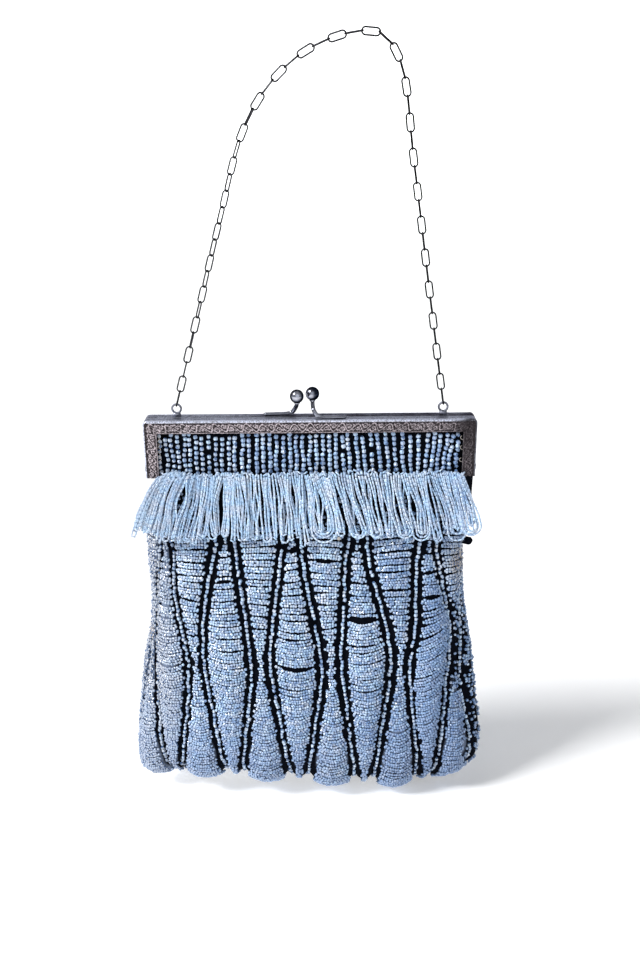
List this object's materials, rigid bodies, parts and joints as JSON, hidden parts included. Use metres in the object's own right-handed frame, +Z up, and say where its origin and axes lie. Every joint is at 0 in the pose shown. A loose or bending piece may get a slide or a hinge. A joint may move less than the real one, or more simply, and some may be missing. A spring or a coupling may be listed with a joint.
{
  "type": "beaded frame bag on a link chain",
  "caption": "Soft beaded evening bag gathered in a hinged metal frame with a ball clasp, a loop fringe on each face and a link chain handle; carried by hand.",
  "frame": {"origin": "the point of the chain that fingers carry, above the middle of the frame", "axes": "+Z up, -Y out of the front face, +X to the right as seen from the front"},
  "size_m": [0.1722, 0.0424, 0.3527],
  "materials": {
    "frame": "worn silver plate with dark tarnish in the ornament",
    "steel": "polished",
    "chain": "darkened wire",
    "beaded_cloth": "pale blue-grey glass beads on black cloth",
    "bead_fringe": "strung glass seed beads, glossy"
  },
  "bodies": {
    "root": {"frame_front": "frame", "frame_back": "frame", "hinge_pin_left": "steel", "hinge_pin_right": "steel", "lock_knob_front": "steel", "lock_knob_back": "steel", "pouch": "beaded_cloth", "fringe_front": "bead_fringe", "fringe_back": "bead_fringe", "chain": "chain"}
  },
  "joints": []
}
